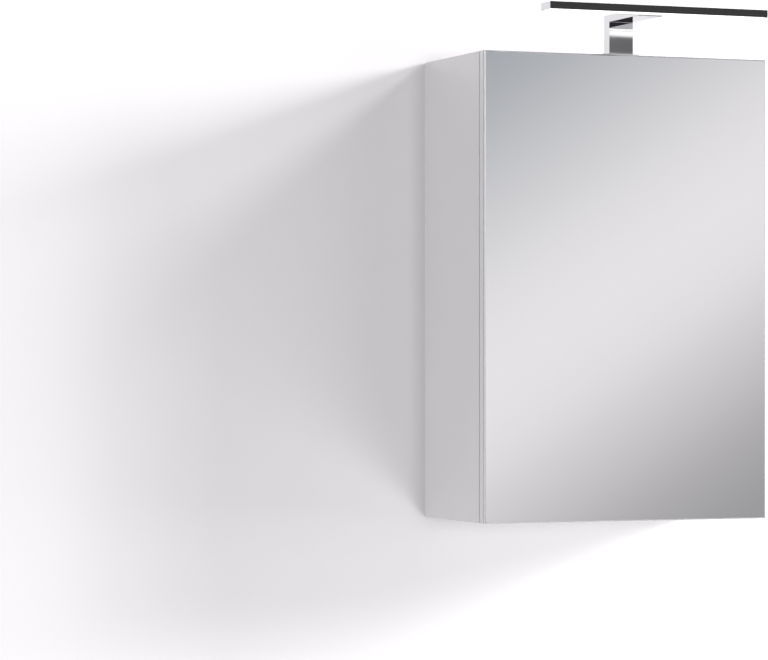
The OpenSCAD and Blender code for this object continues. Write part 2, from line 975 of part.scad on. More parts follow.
module bar_housing() {
    color("dimgray") difference() {
        block([-housing_half, bar_front_y, bar_z], [housing_half, bar_back_y, bar_z + bar_h]);
        block([-housing_half - cut, bar_front_y + bar_wall, bar_z - cut],
              [housing_half + cut, bar_back_y - bar_wall, bar_z + bar_h - bar_wall]);
        rod_y([0, bar_back_y - bar_wall - cut, lead_z], bar_wall + 2 * cut, lead_r);
        for (s = [-1, 1]) {
            rod_y([s * bar_screw_x, bar_back_y - bar_wall - cut, lead_z], bar_wall + 2 * cut, bar_screw_r);
        }
    }
}

module bar_end_caps() {
    color("lightgray") both_sides() {
        block([housing_half, bar_front_y, bar_z], [bar_l / 2, bar_back_y, bar_z + bar_h]);
    }
}

module bar_diffuser() {
    color("white") block([-housing_half, bar_front_y + bar_wall, bar_z],
                         [housing_half, bar_back_y - bar_wall, bar_z + diffuser_t]);
}

module bar_screws() {
    y = bar_back_y - bar_wall;
    color(steel) for (s = [-1, 1]) {
        rod_y([s * bar_screw_x, y, lead_z], bar_wall + bar_screw_in, bar_screw_r);
        rod_y([s * bar_screw_x, y - bar_screw_head_t, lead_z], bar_screw_head_t, bar_screw_head_r);
    }
}

module led_board() {
    color("white") block([-led_board_half, led_board_y, led_board_z],
                         [led_board_half, led_board_y + led_board_w, led_board_z + led_board_t]);
}

module led_chips() {
    pitch = 2 * (led_board_half - chip_end) / (chip_count - 1);
    color("khaki") for (k = [0 : chip_count - 1]) {
        x = -led_board_half + chip_end + k * pitch;
        block([x - chip_w / 2, chip_y - chip_d / 2, led_board_z - chip_t],
              [x + chip_w / 2, chip_y + chip_d / 2, led_board_z]);
    }
}

module led_connector() {
    color("ivory") block([-connector_half, connector_front_y, bar_z + diffuser_t + connector_play],
                         [connector_half, connector_back_y, led_board_z]);
}

// A quarter turn of the lead, from the origin up along Z and over towards -X
module lead_quarter(bend) {
    translate([-bend, 0, 0]) rotate([90, 0, 0]) rotate_extrude(angle = 90) {
        translate([bend, 0]) circle(lead_r);
    }
}

// The lead runs from the connector back through the arm, down the post and along under the top board
module lamp_lead() {
    bend_z = lead_z - lead_top_bend;
    color("white") {
        rod_y([0, connector_back_y, lead_z], lead_y - lead_top_bend - connector_back_y, lead_r);
        translate([0, lead_y, bend_z]) rotate([0, 0, 90]) lead_quarter(lead_top_bend);
        rod_z([0, lead_y, top_z], bend_z - top_z, lead_r);
        translate([0, lead_y, top_z]) mirror([0, 0, 1]) lead_quarter(lead_low_bend);
        rod_x([box_right - box_wall, lead_y, lead_low_z], -lead_low_bend - box_right + box_wall, lead_r);
    }
}

module lead_clip() {
    color("white") difference() {
        block([clip_x - clip_half_w, lead_y - clip_half_d, lead_low_z - clip_half_d],
              [clip_x + clip_half_w, lead_y + clip_half_d, top_z]);
        rod_x([clip_x - clip_half_w - cut, lead_y, lead_low_z], 2 * (clip_half_w + cut), lead_r);
    }
}

// Switch and socket box

module box_screw_solids() {
    for (x = box_screw_xs) {
        z = top_z - box_wall;
        rod_z([x, box_screw_y, z], box_wall + box_screw_in, box_screw_r);
        rod_z([x, box_screw_y, z - screw_head_t], screw_head_t, box_screw_head_r);
    }
}

module front_screw_solids() {
    for (z = boss_zs) {
        rod_y([boss_x, box_front, z], front_screw_l, front_screw_r);
        rod_y([boss_x, box_front - screw_head_t, z], screw_head_t, front_screw_head_r);
    }
}

// The tray: open to the front, with a boss above and below for the front plate's screws
module power_box() {
    w = box_wall;
    color("white") difference() {
        union() {
            difference() {
                block([box_left, tray_front, box_bottom], [box_right, box_back, top_z]);
                block([box_left + w, tray_front - cut, box_bottom + w],
                      [box_right - w, box_back - w, top_z - w]);
            }
            for (z = boss_zs) {
                block([boss_x - boss_half, tray_front, z - boss_half_h],
                      [boss_x + boss_half, tray_front + boss_l, z + boss_half_h]);
            }
        }
        box_screw_solids();
        front_screw_solids();
        rod_x([box_right - w - cut, lead_y, lead_low_z], w + 2 * cut, lead_gland_r);
        rod_y([inlet_x, box_back - w - cut, inlet_z], w + 2 * cut, gland_body_r);
    }
}

// The hole in the front plate has the size of the switch's body
module switch_body(spare) {
    x = switch_cavity_w / 2 + switch_wall;
    z = switch_cavity_h / 2 + switch_wall;
    block([switch_x - x, box_front - spare, box_mid_z - z],
          [switch_x + x, box_front + switch_depth, box_mid_z + z]);
}

module power_box_front() {
    color("white") difference() {
        block([box_left, box_front, box_bottom], [box_right, tray_front, top_z]);
        rod_y([socket_x, box_front - cut, box_mid_z], box_plate_t + 2 * cut, well_out_r);
        switch_body(cut);
        front_screw_solids();
    }
}

module front_screws() {
    color(steel) front_screw_solids();
}

module box_screws() {
    color(steel) box_screw_solids();
}

module contact_sleeve_bodies(r) {
    for (s = [-1, 1]) {
        rod_y([socket_x + s * contact_span / 2, box_front + well_depth, box_mid_z], sleeve_l, r);
    }
}

module socket_well() {
    color("white") difference() {
        union() {
            rod_y([socket_x, box_front, box_mid_z], well_depth + well_floor_t, well_out_r);
            rod_y([socket_x, box_front - well_rim_t, box_mid_z], well_rim_t, well_out_r + well_rim);
        }
        rod_y([socket_x, box_front - well_rim_t - cut, box_mid_z], well_rim_t + cut + well_depth, well_r);
        contact_sleeve_bodies(sleeve_r);
    }
}

module socket_sleeves() {
    color(brass) difference() {
        contact_sleeve_bodies(sleeve_r);
        translate([0, -cut, 0]) contact_sleeve_bodies(sleeve_bore_r);
    }
}

// Two spring strips at the top and bottom of the well, seated in its wall
module earth_clips() {
    color(steel) for (s = [-1, 1]) {
        z = box_mid_z + s * (well_r - clip_t);
        block([socket_x - clip_w / 2, box_front + clip_in, z - clip_t / 2],
              [socket_x + clip_w / 2, box_front + well_depth, z + clip_t / 2]);
    }
}

module switch_tabs() {
    for (s = [-1, 1]) {
        z = box_mid_z + s * tab_z;
        block([switch_x - tab_w / 2, box_front + switch_depth, z - tab_t / 2],
              [switch_x + tab_w / 2, box_front + switch_depth + tab_l, z + tab_t / 2]);
    }
}

module switch_frame() {
    x = switch_cavity_w / 2;
    z = switch_cavity_h / 2;
    rim = switch_wall + switch_rim;
    color("white") difference() {
        union() {
            switch_body(0);
            block([switch_x - x - rim, box_front - switch_rim_t, box_mid_z - z - rim],
                  [switch_x + x + rim, box_front, box_mid_z + z + rim]);
            switch_tabs();
        }
        block([switch_x - x, box_front - switch_rim_t - cut, box_mid_z - z],
              [switch_x + x, box_front + switch_depth - 2 * switch_wall, box_mid_z + z]);
        rod_x([switch_x - x - switch_wall, pivot_y, box_mid_z], 2 * (x + switch_wall), axle_r + axle_play);
    }
}

// A dished rocker on its own two axle stubs, tilted so that the light is on
module rocker() {
    h = rocker_h / 2;
    stub = rocker_w / 2 + rocker_play + switch_wall - stub_play;
    color("whitesmoke") translate([switch_x, pivot_y, box_mid_z]) rotate([-rocker_tilt, 0, 0]) {
        rotate([90, 0, 90]) translate([0, 0, -rocker_w / 2]) linear_extrude(height = rocker_w) polygon([
            [-rocker_front, -h], [-rocker_front + rocker_dish, 0], [-rocker_front, h],
            [rocker_edge, h], [rocker_back, h / 3], [rocker_back, -h / 3], [rocker_edge, -h]
        ]);
        rod_x([-stub, 0, 0], 2 * stub, axle_r);
    }
}

// The lamp's power supply, against the tray's right wall
module led_driver() {
    x = box_right - box_wall;
    z = box_bottom + box_wall;
    color("gainsboro") block([x - driver_w, tray_front, z], [x, box_back - box_wall, z + driver_h]);
}

module terminal_block() {
    x = box_left + box_wall + terminal_gap;
    z = box_bottom + box_wall;
    y = box_back - box_wall;
    hole_z = z + terminal_h - terminal_hole_l;
    screw_pitch = terminal_w / 3;
    color("ivory") difference() {
        block([x, y - terminal_d, z], [x + terminal_w, y, z + terminal_h]);
        for (k = [0.5, 1.5, 2.5]) {
            hole_x = x + k * screw_pitch;
            rod_z([hole_x, y - terminal_d / 2, hole_z], terminal_hole_l + cut, terminal_hole_r);
        }
    }
}

// The wide grommet in the back panel, and the two small ones in the box
module cable_grommets() {
    color("gray") {
        difference() {
            union() {
                rod_y([inlet_x, back_y - inlet_lip_t, inlet_z], back_t + 2 * inlet_lip_t, inlet_body_r);
                rod_y([inlet_x, back_y - inlet_lip_t, inlet_z], inlet_lip_t, inlet_flange_r);
                rod_y([inlet_x, -back_recess, inlet_z], inlet_lip_t, inlet_flange_r);
            }
            rod_y([inlet_x, back_y - inlet_lip_t - cut, inlet_z], back_t + 2 * (inlet_lip_t + cut), inlet_r);
        }
        difference() {
            union() {
                rod_y([inlet_x, box_back - box_wall, inlet_z], box_wall, gland_body_r);
                rod_y([inlet_x, box_back, inlet_z], inlet_lip_t, gland_flange_r);
            }
            rod_y([inlet_x, box_back - box_wall - cut, inlet_z], box_wall + inlet_lip_t + 2 * cut, gland_r);
        }
        difference() {
            union() {
                rod_x([box_right - box_wall, lead_y, lead_low_z], box_wall, lead_gland_r);
                rod_x([box_right, lead_y, lead_low_z], inlet_lip_t, lead_gland_flange_r);
            }
            rod_x([box_right - box_wall - cut, lead_y, lead_low_z], box_wall + inlet_lip_t + 2 * cut, lead_r);
        }
    }
}

side_panel_left();
side_panel_right();
top_panel();
bottom_panel();
back_panel();
dowels();
cam_discs();
cam_bolts();
cam_caps();
shelf_lower();
shelf_upper();
shelf_pins_lower();
shelf_pins_upper();
door_board();
mirror_glass();
mirror_tape();
door_bumpers();
hinge_cup_lower();
hinge_cup_upper();
hinge_pin_lower();
hinge_pin_upper();
hinge_arm_lower();
hinge_arm_upper();
hinge_plate_lower();
hinge_plate_upper();
cup_screws();
plate_screws();
arm_screws();
hanger_left();
hanger_right();
hanger_hook_left();
hanger_hook_right();
wall_plate_left();
wall_plate_right();
hanger_adjusters();
hanger_screws();
lamp_base_plate();
lamp_bracket();
foot_screws();
bar_housing();
bar_end_caps();
bar_diffuser();
bar_screws();
led_board();
led_chips();
led_connector();
lamp_lead();
lead_clip();
power_box();
power_box_front();
front_screws();
box_screws();
socket_well();
socket_sleeves();
earth_clips();
switch_frame();
rocker();
led_driver();
terminal_block();
cable_grommets();
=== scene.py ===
import math

import bmesh
import bpy
import numpy as np
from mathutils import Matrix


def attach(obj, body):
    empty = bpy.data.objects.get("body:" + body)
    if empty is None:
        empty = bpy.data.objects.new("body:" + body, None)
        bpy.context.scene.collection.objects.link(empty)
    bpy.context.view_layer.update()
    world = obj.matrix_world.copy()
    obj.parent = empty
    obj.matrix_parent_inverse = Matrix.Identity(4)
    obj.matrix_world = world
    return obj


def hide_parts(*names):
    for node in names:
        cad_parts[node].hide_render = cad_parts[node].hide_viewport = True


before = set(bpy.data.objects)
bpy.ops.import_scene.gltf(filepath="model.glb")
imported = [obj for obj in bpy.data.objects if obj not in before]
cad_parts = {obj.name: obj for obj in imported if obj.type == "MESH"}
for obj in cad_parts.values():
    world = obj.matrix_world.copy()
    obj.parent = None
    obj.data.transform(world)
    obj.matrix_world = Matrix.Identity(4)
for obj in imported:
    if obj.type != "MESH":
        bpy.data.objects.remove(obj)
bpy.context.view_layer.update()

# Looks of the lighted mirror cabinet. The cabinet's shapes are worked out in millimetres in its own frame,
# and MM turns them into metres. The stage, the lamps and the camera are in metres. The origin is the
# bottom centre of the back, on the wall. X runs to the right, -Y out of the wall and Z up.
MM = 0.001
CABINET, DOOR, ROCKER = "cabinet", "door", "rocker"
SIDES = (-1, 1)

# The cabinet's half width, its height, and the front edges of its boards
HALF_W, HEIGHT, FRONT_EDGE = 200.0, 600.0, -181.2


# Camera

def place_camera():
    """A level camera, 21.5 degrees to the left of the mirror's axis, with the picture shifted so that
    upright edges stay parallel."""
    data = bpy.data.cameras.new("camera")
    data.sensor_width = 36.0
    data.lens = 157.09
    data.shift_y = 0.0392
    camera = bpy.data.objects.new("camera", data)
    camera.location = (-1.8702, -4.1005, 0.2073)
    camera.rotation_euler = (math.radians(90), 0, math.radians(-21.46))
    bpy.context.scene.collection.objects.link(camera)
    bpy.context.scene.camera = camera


# Finishes

def nodes_of(name):
    """A new material, its node tree and its surface shader."""
    material = bpy.data.materials.new(name)
    material.use_nodes = True
    tree = material.node_tree
    return material, tree, tree.nodes["Principled BSDF"]


def span_of(tree, amount, ends, results=(0, 1), blend="LINEAR"):
    """An amount between two ends turned into one between two results, where it stays past the ends."""
    span = tree.nodes.new("ShaderNodeMapRange")
    span.interpolation_type = blend
    span.inputs["From Min"].default_value = ends[0]
    span.inputs["From Max"].default_value = ends[1]
    span.inputs["To Min"].default_value = results[0]
    span.inputs["To Max"].default_value = results[1]
    tree.links.new(amount, span.inputs["Value"])
    return span.outputs["Result"]


def ramp_of(tree, amount, stops, blend="LINEAR"):
    """A colour that runs through the stops, each a place from 0 to 1 and a colour, as the amount grows."""
    ramp = tree.nodes.new("ShaderNodeValToRGB")
    ramp.color_ramp.interpolation = blend
    elements = ramp.color_ramp.elements
    for element, (position, colour) in zip((elements[0], elements[1]), (stops[0], stops[-1])):
        element.position = position
        element.color = (*colour, 1)
    for position, colour in stops[1:-1]:
        elements.new(position).color = (*colour, 1)
    tree.links.new(amount, ramp.inputs["Fac"])
    return ramp.outputs["Color"]


def noise_of(tree, scale, detail=3.0, stretch=(1, 1, 1)):
    """Noise on the piece's own coordinates, in waves per metre, stretched along the axes."""
    place = tree.nodes.new("ShaderNodeTexCoord")
    turn = tree.nodes.new("ShaderNodeMapping")
    turn.inputs["Scale"].default_value = stretch
    noise = tree.nodes.new("ShaderNodeTexNoise")
    noise.inputs["Scale"].default_value = scale
    noise.inputs["Detail"].default_value = detail
    tree.links.new(place.outputs["Object"], turn.inputs["Vector"])
    tree.links.new(turn.outputs["Vector"], noise.inputs["Vector"])
    return noise.outputs["Fac"]


def between(tree, noise, low, high):
    """A value that goes from low to high as the noise rises from 0.3 to 0.7."""
    return span_of(tree, noise, (0.3, 0.7), (low, high))


def tinted(tree, noise, one, other):
    """A colour that drifts from one to the other as the noise rises from 0.35 to 0.65."""
    return ramp_of(tree, noise, [(0.35, one), (0.65, other)])


def bumped(tree, shader, height, depth_mm):
    """A relief of the given depth in the shader's normal."""
    bump = tree.nodes.new("ShaderNodeBump")
    bump.inputs["Distance"].default_value = depth_mm * MM
    tree.links.new(height, bump.inputs["Height"])
    tree.links.new(bump.outputs["Normal"], shader.inputs["Normal"])


def surface_finish(name, one, other, rough, patch, grain, depth_mm, metal=0.0, coat=0.0, stretch=(1, 1, 1)):
    """A finish whose colour drifts between two near colours over patches, whose roughness varies a
    little, and whose fine grain is a relief. Patch and grain are in waves per metre."""
    material, tree, shader = nodes_of(name)
    shader.inputs["Metallic"].default_value = metal
    shader.inputs["Coat Weight"].default_value = coat
    shader.inputs["Coat Roughness"].default_value = 0.12
    patches = noise_of(tree, patch)
    fine = noise_of(tree, grain, 4.0, stretch)
    tree.links.new(tinted(tree, patches, one, other), shader.inputs["Base Color"])
    tree.links.new(between(tree, patches, *rough), shader.inputs["Roughness"])
    bumped(tree, shader, fine, depth_mm)
    return material


def mirror_finish():
    """Silvered glass: almost clean, with a faint haze in slow patches."""
    material, tree, shader = nodes_of("mirror_silver")
    shader.inputs["Metallic"].default_value = 1.0
    haze = noise_of(tree, 3.0)
    silver = tinted(tree, haze, (0.925, 0.94, 0.94), (0.935, 0.945, 0.945))
    tree.links.new(silver, shader.inputs["Base Color"])
    tree.links.new(between(tree, haze, 0.008, 0.014), shader.inputs["Roughness"])
    return material


def shelf_finish():
    """Clear glass with a trace of green, and a faint unevenness in its polish."""
    material, tree, shader = nodes_of("shelf_glass")
    shader.inputs["Transmission Weight"].default_value = 1.0
    shader.inputs["IOR"].default_value = 1.5
    polish = noise_of(tree, 25.0)
    green = (0.93, 0.985, 0.965)
    duller = tuple(0.98 * part for part in green)
    tree.links.new(tinted(tree, polish, green, duller), shader.inputs["Base Color"])
    tree.links.new(between(tree, polish, 0.0, 0.02), shader.inputs["Roughness"])
    return material


def glowing_finish(name, colour):
    """An opal or phosphor surface that is lit from within, a little uneven along its length."""
    material, tree, shader = nodes_of(name)
    duller = tuple(0.97 * part for part in colour)
    uneven = tinted(tree, noise_of(tree, 12.0), duller, colour)
    tree.links.new(uneven, shader.inputs["Base Color"])
    tree.links.new(uneven, shader.inputs["Emission Color"])
    shader.inputs["Emission Strength"].default_value = 1.0
    shader.inputs["Roughness"].default_value = 0.3
    return material


lacquer = surface_finish("white_lacquer", (0.75, 0.741, 0.752), (0.762, 0.753, 0.764),
                         rough=(0.3, 0.36), patch=7, grain=520, depth_mm=0.012, coat=0.25)
faced_board = surface_finish("white_faced_board", (0.754, 0.748, 0.755), (0.766, 0.76, 0.767),
                             rough=(0.45, 0.55), patch=14, grain=900, depth_mm=0.02)
# Noise stretched along the dowels gives the wood its grain
beech = surface_finish("beech", (0.62, 0.42, 0.24), (0.46, 0.29, 0.15),
                       rough=(0.55, 0.7), patch=90, grain=700, depth_mm=0.05, stretch=(0.12, 1, 1))
mirror_silver = mirror_finish()
# The mirror's ground edge, darker than plain ground glass so that it also carries the dark line of the joint
# beside it: partly its own colour, partly painted shade
ground_edge_with_joint_shade = surface_finish("ground_edge_and_joint_shade", (0.42, 0.46, 0.455), (0.48, 0.52, 0.515),
                              rough=(0.16, 0.24), patch=60, grain=1500, depth_mm=0.01, coat=0.6)
arris_glass = surface_finish("polished_arris", (0.71, 0.702, 0.715), (0.75, 0.742, 0.755),
                             rough=(0.1, 0.16), patch=60, grain=900, depth_mm=0.002, metal=0.85)
shelf_glass = shelf_finish()
nickel = surface_finish("nickel_plate", (0.62, 0.6, 0.57), (0.68, 0.66, 0.63),
                        rough=(0.2, 0.32), patch=60, grain=1600, depth_mm=0.006, metal=1.0)
zinc = surface_finish("zinc_plate", (0.56, 0.6, 0.64), (0.66, 0.66, 0.62),
                      rough=(0.28, 0.42), patch=110, grain=1400, depth_mm=0.01, metal=1.0)
chrome = surface_finish("chrome", (0.695, 0.695, 0.705), (0.71, 0.71, 0.72),
                        rough=(0.012, 0.022), patch=30, grain=300, depth_mm=0.0001, metal=1.0)
# Near black, glossy and not metallic: the bar's front strip is painted dark in every view, in place of the
# dark reflection that its chrome face shows
dark_front_finish = surface_finish("dark_bar_front", (0.0085, 0.0082, 0.0085), (0.0105, 0.01, 0.0105),
                            rough=(0.12, 0.16), patch=20, grain=1200, depth_mm=0.002)
white_plastic = surface_finish("white_plastic", (0.74, 0.74, 0.725), (0.78, 0.78, 0.765),
                               rough=(0.42, 0.5), patch=25, grain=1800, depth_mm=0.02)
gloss_plastic = surface_finish("gloss_white_plastic", (0.78, 0.78, 0.77), (0.81, 0.81, 0.8),
                               rough=(0.16, 0.22), patch=20, grain=700, depth_mm=0.003, coat=0.3)
ivory_plastic = surface_finish("ivory_plastic", (0.72, 0.68, 0.55), (0.76, 0.72, 0.6),
                               rough=(0.35, 0.45), patch=30, grain=1500, depth_mm=0.01)
clear_rubber = surface_finish("clear_rubber", (0.62, 0.63, 0.63), (0.7, 0.7, 0.7),
                              rough=(0.3, 0.4), patch=80, grain=900, depth_mm=0.01)
grey_rubber = surface_finish("grey_rubber", (0.07, 0.07, 0.072), (0.095, 0.095, 0.098),
                             rough=(0.6, 0.75), patch=60, grain=1500, depth_mm=0.02)
foam_tape = surface_finish("foam_tape", (0.03, 0.03, 0.03), (0.045, 0.045, 0.045),
                           rough=(0.8, 0.9), patch=90, grain=2500, depth_mm=0.05)
brass = surface_finish("brass", (0.72, 0.5, 0.2), (0.78, 0.57, 0.26),
                       rough=(0.2, 0.3), patch=80, grain=1200, depth_mm=0.005, metal=1.0)
sheath = surface_finish("lead_sheath", (0.74, 0.74, 0.73), (0.79, 0.79, 0.78),
                        rough=(0.38, 0.46), patch=40, grain=1200, depth_mm=0.01)
opal = glowing_finish("opal_diffuser", (1.0, 0.99, 0.96))
phosphor = glowing_finish("led_phosphor", (1.0, 0.85, 0.35))


# Pieces

# Points of a mesh that are closer than this, in metres, are one point
WELD = 2e-6


def sheet_faces(rows, columns, first):
    """Four-sided faces between neighbouring points of a grid, numbered row by row from first."""
    i, j = np.meshgrid(np.arange(rows - 1), np.arange(columns - 1), indexing="ij")
    corner = first + i * columns + j
    return np.stack([corner, corner + columns, corner + columns + 1, corner + 1], -1).reshape(-1, 4)


def shade_smooth(mesh, angle):
    """Shades a mesh smooth, apart from the edges that are sharper than the angle in degrees."""
    mesh.polygons.foreach_set("use_smooth", np.ones(len(mesh.polygons), bool))
    mesh.set_sharp_from_angle(angle=math.radians(angle))


def settle(obj, node, finish, body):
    """Evens a piece's shading, gives it its finish and its body, and hides the node that it stands for."""
    even = obj.modifiers.new("even_shading", "WEIGHTED_NORMAL")
    even.keep_sharp = True
    bpy.context.scene.collection.objects.link(obj)
    obj.data.materials.append(finish)
    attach(obj, body)
    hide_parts(node)
    return obj


def add_piece(name, node, finish, sheets, caps=(), body=CABINET, angle=40):
    """One closed mesh in place of a node, from grids of points and from flat end caps, all in millimetres.
    Points that lie on each other are welded, and the faces turned outwards."""
    points = [sheet.reshape(-1, 3) for sheet in sheets]
    firsts = np.cumsum([0] + [len(p) for p in points])
    faces = []
    for sheet, first in zip(sheets, firsts):
        faces += sheet_faces(sheet.shape[0], sheet.shape[1], first).tolist()
    count = firsts[-1]
    for cap in caps:
        points.append(cap)
        faces.append(list(range(count, count + len(cap))))
        count += len(cap)
    mesh = bpy.data.meshes.new(name)
    mesh.from_pydata((np.concatenate(points) * MM).tolist(), [], faces)
    work = bmesh.new()
    work.from_mesh(mesh)
    bmesh.ops.remove_doubles(work, verts=work.verts, dist=WELD)
    bmesh.ops.dissolve_degenerate(work, edges=work.edges, dist=WELD / 2)
    bmesh.ops.recalc_face_normals(work, faces=work.faces)
    work.to_mesh(mesh)
    work.free()
    shade_smooth(mesh, angle)
    return settle(bpy.data.objects.new(name, mesh), node, finish, body)


def eased_copy(node, finish, width_mm, body=CABINET):
    """A copy of a node whose loose triangles are merged and whose sharp edges are rounded."""
    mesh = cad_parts[node].data.copy()
    mesh.materials.clear()
    work = bmesh.new()
    work.from_mesh(mesh)
    bmesh.ops.remove_doubles(work, verts=work.verts, dist=WELD)
    bmesh.ops.dissolve_limit(work, angle_limit=math.radians(1), verts=work.verts, edges=work.edges)
    work.to_mesh(mesh)
    work.free()
    shade_smooth(mesh, 30)
    obj = bpy.data.objects.new(node + "_eased", mesh)
    ease = obj.modifiers.new("ease", "BEVEL")
    ease.width = width_mm * MM
    ease.segments = 2
    ease.limit_method = "ANGLE"
    ease.angle_limit = math.radians(40)
    ease.use_clamp_overlap = False
    return settle(obj, node, finish, body)


def dress(node, finish):
    """Gives a node that keeps its own shape a better finish."""
    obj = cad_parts[node]
    if not obj.material_slots:
        obj.data.materials.append(finish)
    for place in obj.material_slots:
        place.link = "OBJECT"
        place.material = finish


# Shapes

def points_of(x, y, z):
    """A grid of points from three arrays of coordinates, each spread over the whole grid."""
    return np.stack(np.broadcast_arrays(x, y, z), -1)


def edge_stops(low, high, r):
    """Places along one side of a box: three steps over the rounding at each end, spaced as tangents so that
    the rounding is even."""
    turn = np.tan(np.linspace(-math.pi / 4, 0, 4))
    return np.concatenate([low + r * (1 + turn), high - r * (1 + turn[::-1])])


def rounded_block(low, high, r):
    """The skin of a box with rounded edges. A point p of the sharp box goes to c + r (p - c) / |p - c|,
    where c is p held inside the box shrunk by r."""
    low, high = np.array(low, float), np.array(high, float)
    stops = [edge_stops(low[k], high[k], r) for k in range(3)]
    sheets = []
    for k in range(3):
        a, b = (k + 1) % 3, (k + 2) % 3
        u, v = np.meshgrid(stops[a], stops[b], indexing="ij")
        for side in (low[k], high[k]):
            p = np.empty(u.shape + (3,))
            p[..., k], p[..., a], p[..., b] = side, u, v
            core = np.clip(p, low + r, high - r)
            away = p - core
            sheets.append(core + r * away / np.linalg.norm(away, axis=-1, keepdims=True))
    return sheets


def eased_outline(corners, reaches):
    """A closed outline with rounded corners. From A, at its reach before a corner P, to B, at its reach
    after it, the outline is (1 - s)^2 A + 2 s (1 - s) P + s^2 B in five steps."""
    p = np.array(corners, float)
    reach = np.array(reaches, float)[:, None]
    before, after = np.roll(p, 1, 0) - p, np.roll(p, -1, 0) - p
    a = p + before / np.linalg.norm(before, axis=1, keepdims=True) * reach
    b = p + after / np.linalg.norm(after, axis=1, keepdims=True) * reach
    s = np.linspace(0, 1, 6)[:, None, None]
    return ((1 - s) ** 2 * a + 2 * s * (1 - s) * p + s**2 * b).transpose(1, 0, 2).reshape(-1, 2)


def drawn(outline, low, high, ease):
    """An outline of (y, z) carried along X, and its two end caps. At each end it shrinks by
    ease (1 - sin a) where it is ease (1 - cos a) from the end, a from 0 to 90 degrees in three steps, so
    that the rims are rounded."""
    area = np.sum(outline[:, 0] * np.roll(outline[:, 1], -1) - outline[:, 1] * np.roll(outline[:, 0], -1))
    step = np.roll(outline, -1, 0) - np.roll(outline, 1, 0)
    out = np.stack([step[:, 1], -step[:, 0]], 1) * np.sign(area)
    out /= np.linalg.norm(out, axis=1, keepdims=True)
    a = np.linspace(0, math.pi / 2, 4)
    along = np.concatenate([low + ease * (1 - np.cos(a)), high - ease * (1 - np.cos(a[::-1]))])
    inset = np.concatenate([ease * (1 - np.sin(a)), ease * (1 - np.sin(a[::-1]))])
    rings = outline[None] - inset[:, None, None] * out[None]
    closed = np.concatenate([rings, rings[:, :1]], 1)
    sheet = points_of(along[:, None], closed[..., 0], closed[..., 1])
    return [sheet], [sheet[0, :-1], sheet[-1, :-1]]


# An axis d, and e and f that are square to it, so that d, e and f are right-handed
AXES = {"+x": ((1, 0, 0), (0, 1, 0), (0, 0, 1)), "-x": ((-1, 0, 0), (0, 0, 1), (0, 1, 0)),
        "+y": ((0, 1, 0), (0, 0, 1), (1, 0, 0)), "-y": ((0, -1, 0), (1, 0, 0), (0, 0, 1)),
        "-z": ((0, 0, -1), (0, 1, 0), (1, 0, 0))}


def turned(profile, centre, way, steps=48):
    """A profile of (along, radius) pairs turned round an axis: centre + along d + radius (cos a e + sin a
    f), with d, e and f of the way it points."""
    d, e, f = np.array(AXES[way], float)
    along, radius = np.array(profile, float).T[:, :, None]
    a = np.linspace(0, 2 * math.pi, steps + 1)[None, :]
    ring = np.cos(a)[..., None] * e + np.sin(a)[..., None] * f
    return np.array(centre, float) + along[..., None] * d + radius[..., None] * ring


def screw(centre, way, shank_l, shank_r, head_r, head_t):
    """A screw whose head lies on the plane through centre and points along way. Its top is the dome
    t (1 - 0.3 q^2) over q, the share of the radius, and the cross recess is cut by the larger of the
    two slots' smooth boxes."""
    d, e, f = np.array(AXES[way], float)
    steps = 40
    q = np.concatenate([np.linspace(1, 0.7, 4), np.linspace(0.64, 0, 12)])
    a = np.linspace(0, 2 * math.pi, steps + 1)
    x, y = q[:, None] * np.cos(a), q[:, None] * np.sin(a)
    slot, reach, soft = 0.13, 0.56, 0.06
    fall, recess = 0.3, 0.6

    def edge(value, limit):
        return np.clip((limit - np.abs(value)) / soft + 0.5, 0, 1)

    cross = np.maximum(edge(x, slot) * edge(y, reach), edge(y, slot) * edge(x, reach))
    top = head_t * (1 - fall * q[:, None] ** 2) - recess * head_t * cross
    tip = 0.6 * shank_r
    below = [(-shank_l, 0), (-shank_l, tip), (-shank_l + tip, shank_r), (0, shank_r),
             (0, 0.97 * head_r), (0.1 * head_t, head_r), (0.55 * head_t, head_r)]
    lower = turned(below, centre, way, steps)
    upper = np.array(centre, float) + top[..., None] * d + head_r * (x[..., None] * e + y[..., None] * f)
    return np.concatenate([lower, upper], 0)


def add_screws(name, node, size, places, body=CABINET):
    """Like screws, each with its centre and the way it points. The size is the shank's length and radius
    and the head's radius and thickness."""
    add_piece(name, node, zinc, [screw(centre, way, *size) for centre, way in places], body=body)


# Cabinet boards

for panel in ("side_panel_left", "side_panel_right", "top_panel", "bottom_panel"):
    eased_copy(panel, lacquer, 0.5)
eased_copy("door_board", lacquer, 0.6, DOOR)
eased_copy("back_panel", faced_board, 0.2)


# Mirror

MIRROR_BACK, MIRROR_FRONT = -196.0, -200.0
ARRIS_DEPTH, ARRIS_W = 1.0, 1.6


def mirror_sheet():
    """The glass as a run of rectangles from back to front: full size over its thickness, then drawn in by
    the arris, which is slightly convex. Each row has its place and how far it is drawn in."""
    rows = np.array([(MIRROR_BACK, 0.15), (MIRROR_BACK - 0.15, 0), (MIRROR_FRONT + ARRIS_DEPTH, 0),
                     (MIRROR_FRONT + 0.78, 0.1), (MIRROR_FRONT + 0.3, 0.55), (MIRROR_FRONT, ARRIS_W)])
    y, inset = rows.T[:, :, None]
    corner = np.array([[-1, 0], [1, 0], [1, 1], [-1, 1], [-1, 0]])
    x = corner[:, 0] * (HALF_W - inset)
    z = np.where(corner[:, 1] > 0, HEIGHT - inset, inset)
    return points_of(x, y, z)


